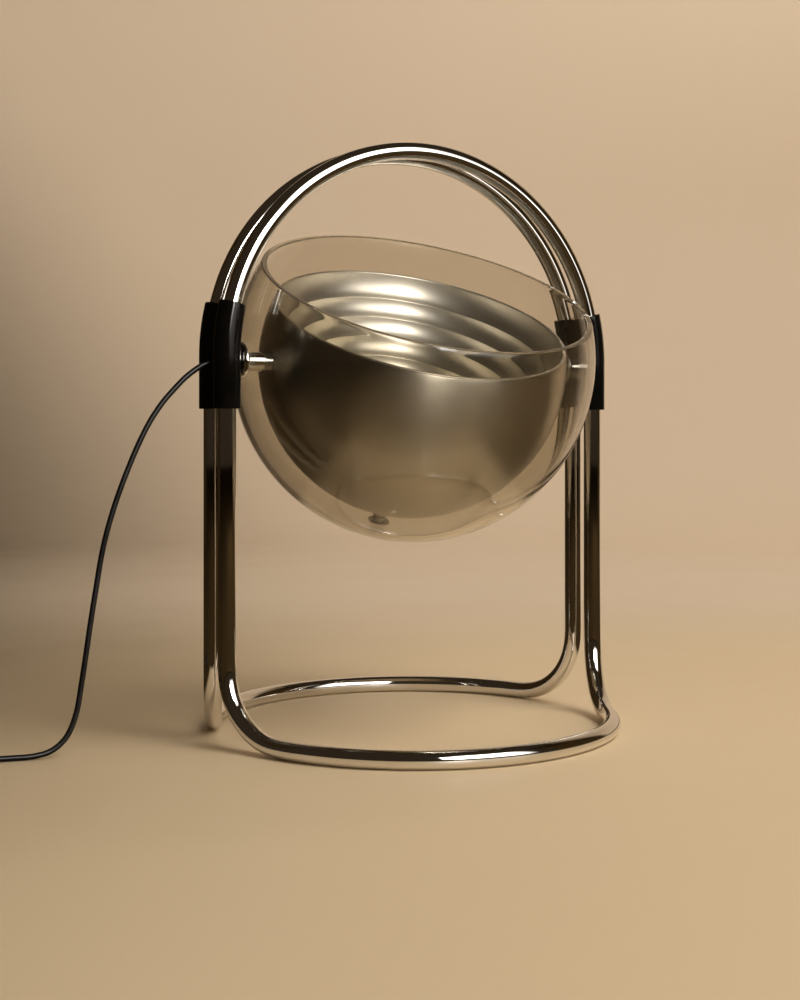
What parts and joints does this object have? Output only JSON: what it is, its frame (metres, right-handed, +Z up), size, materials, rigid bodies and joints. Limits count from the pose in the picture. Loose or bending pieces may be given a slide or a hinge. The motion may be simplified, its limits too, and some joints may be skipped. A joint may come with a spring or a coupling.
{
  "type": "table lamp",
  "caption": "Table lamp: a smoked open globe with a stepped reflector tilts on two side pivots in a frame of bent chrome tubes with black sleeves.",
  "frame": {"origin": "on the table under the middle of the frame", "axes": "+Z up, X along the tilt axis with the lead on the -X side, -Y to the lamp's front"},
  "size_m": [0.5677, 0.2888, 0.3999],
  "materials": {
    "chrome": "polished",
    "sleeve_plastic": "satin",
    "steel": "zinc plated",
    "smoked_acrylic": "clear, smoked, polished",
    "bowl_aluminium": "fine satin",
    "reflector_aluminium": "satin, spun",
    "washer_nylon": "moulded",
    "holder_plastic": "moulded",
    "ceramic": "glazed",
    "brass": "bright",
    "cord_sheath": "smooth sheath",
    "switch_plastic": "moulded",
    "rocker_plastic": "moulded",
    "tie_strap": "strap"
  },
  "bodies": {
    "frame": {"front_arch_tube": "chrome", "rear_arch_tube": "chrome", "front_base_tube": "chrome", "rear_base_tube": "chrome", "left_collar": "chrome", "right_collar": "chrome", "left_sleeve": "sleeve_plastic", "right_sleeve": "sleeve_plastic", "tube_spigots": "steel", "left_pivot_nipple": "steel", "right_pivot_stud": "steel", "inner_washers": "steel", "spring_washers": "steel", "lock_nuts": "steel", "switch_screws": "steel", "switch_pin": "steel", "friction_washers": "washer_nylon", "switch_contacts": "brass", "plug_pins": "brass", "cord_run": "cord_sheath", "cord_link": "cord_sheath", "cord_coil": "cord_sheath", "cord_tail": "cord_sheath", "cord_bush": "cord_sheath", "switch_base": "switch_plastic", "switch_cover": "switch_plastic", "plug_body": "switch_plastic", "coil_tie": "tie_strap"},
    "head": {"globe": "smoked_acrylic", "reflector_bowl": "bowl_aluminium", "stepped_reflector": "reflector_aluminium", "left_spacer": "chrome", "right_spacer": "chrome", "base_post": "bowl_aluminium", "post_stud": "steel", "globe_washer": "steel", "globe_screw": "chrome", "holder_cap": "holder_plastic", "holder_nut": "steel", "holder_body": "holder_plastic", "holder_core": "ceramic", "thread_shell": "brass", "centre_contact": "brass", "inner_lead": "cord_sheath"},
    "rocker": {"switch_rocker": "rocker_plastic"}
  },
  "joints": [
    {"name": "head_tilt", "type": "hinge", "parent": "frame", "child": "head", "pos_m": [0, 0, 0.249], "axis": [1, 0, 0], "range_deg": [-154.5, 105.5]},
    {"name": "switch_rock", "type": "hinge", "parent": "frame", "child": "rocker", "pos_m": [-0.345, 0.02, 0.0118], "axis": [0, -1, 0], "range_deg": [0, 16]}
  ]
}
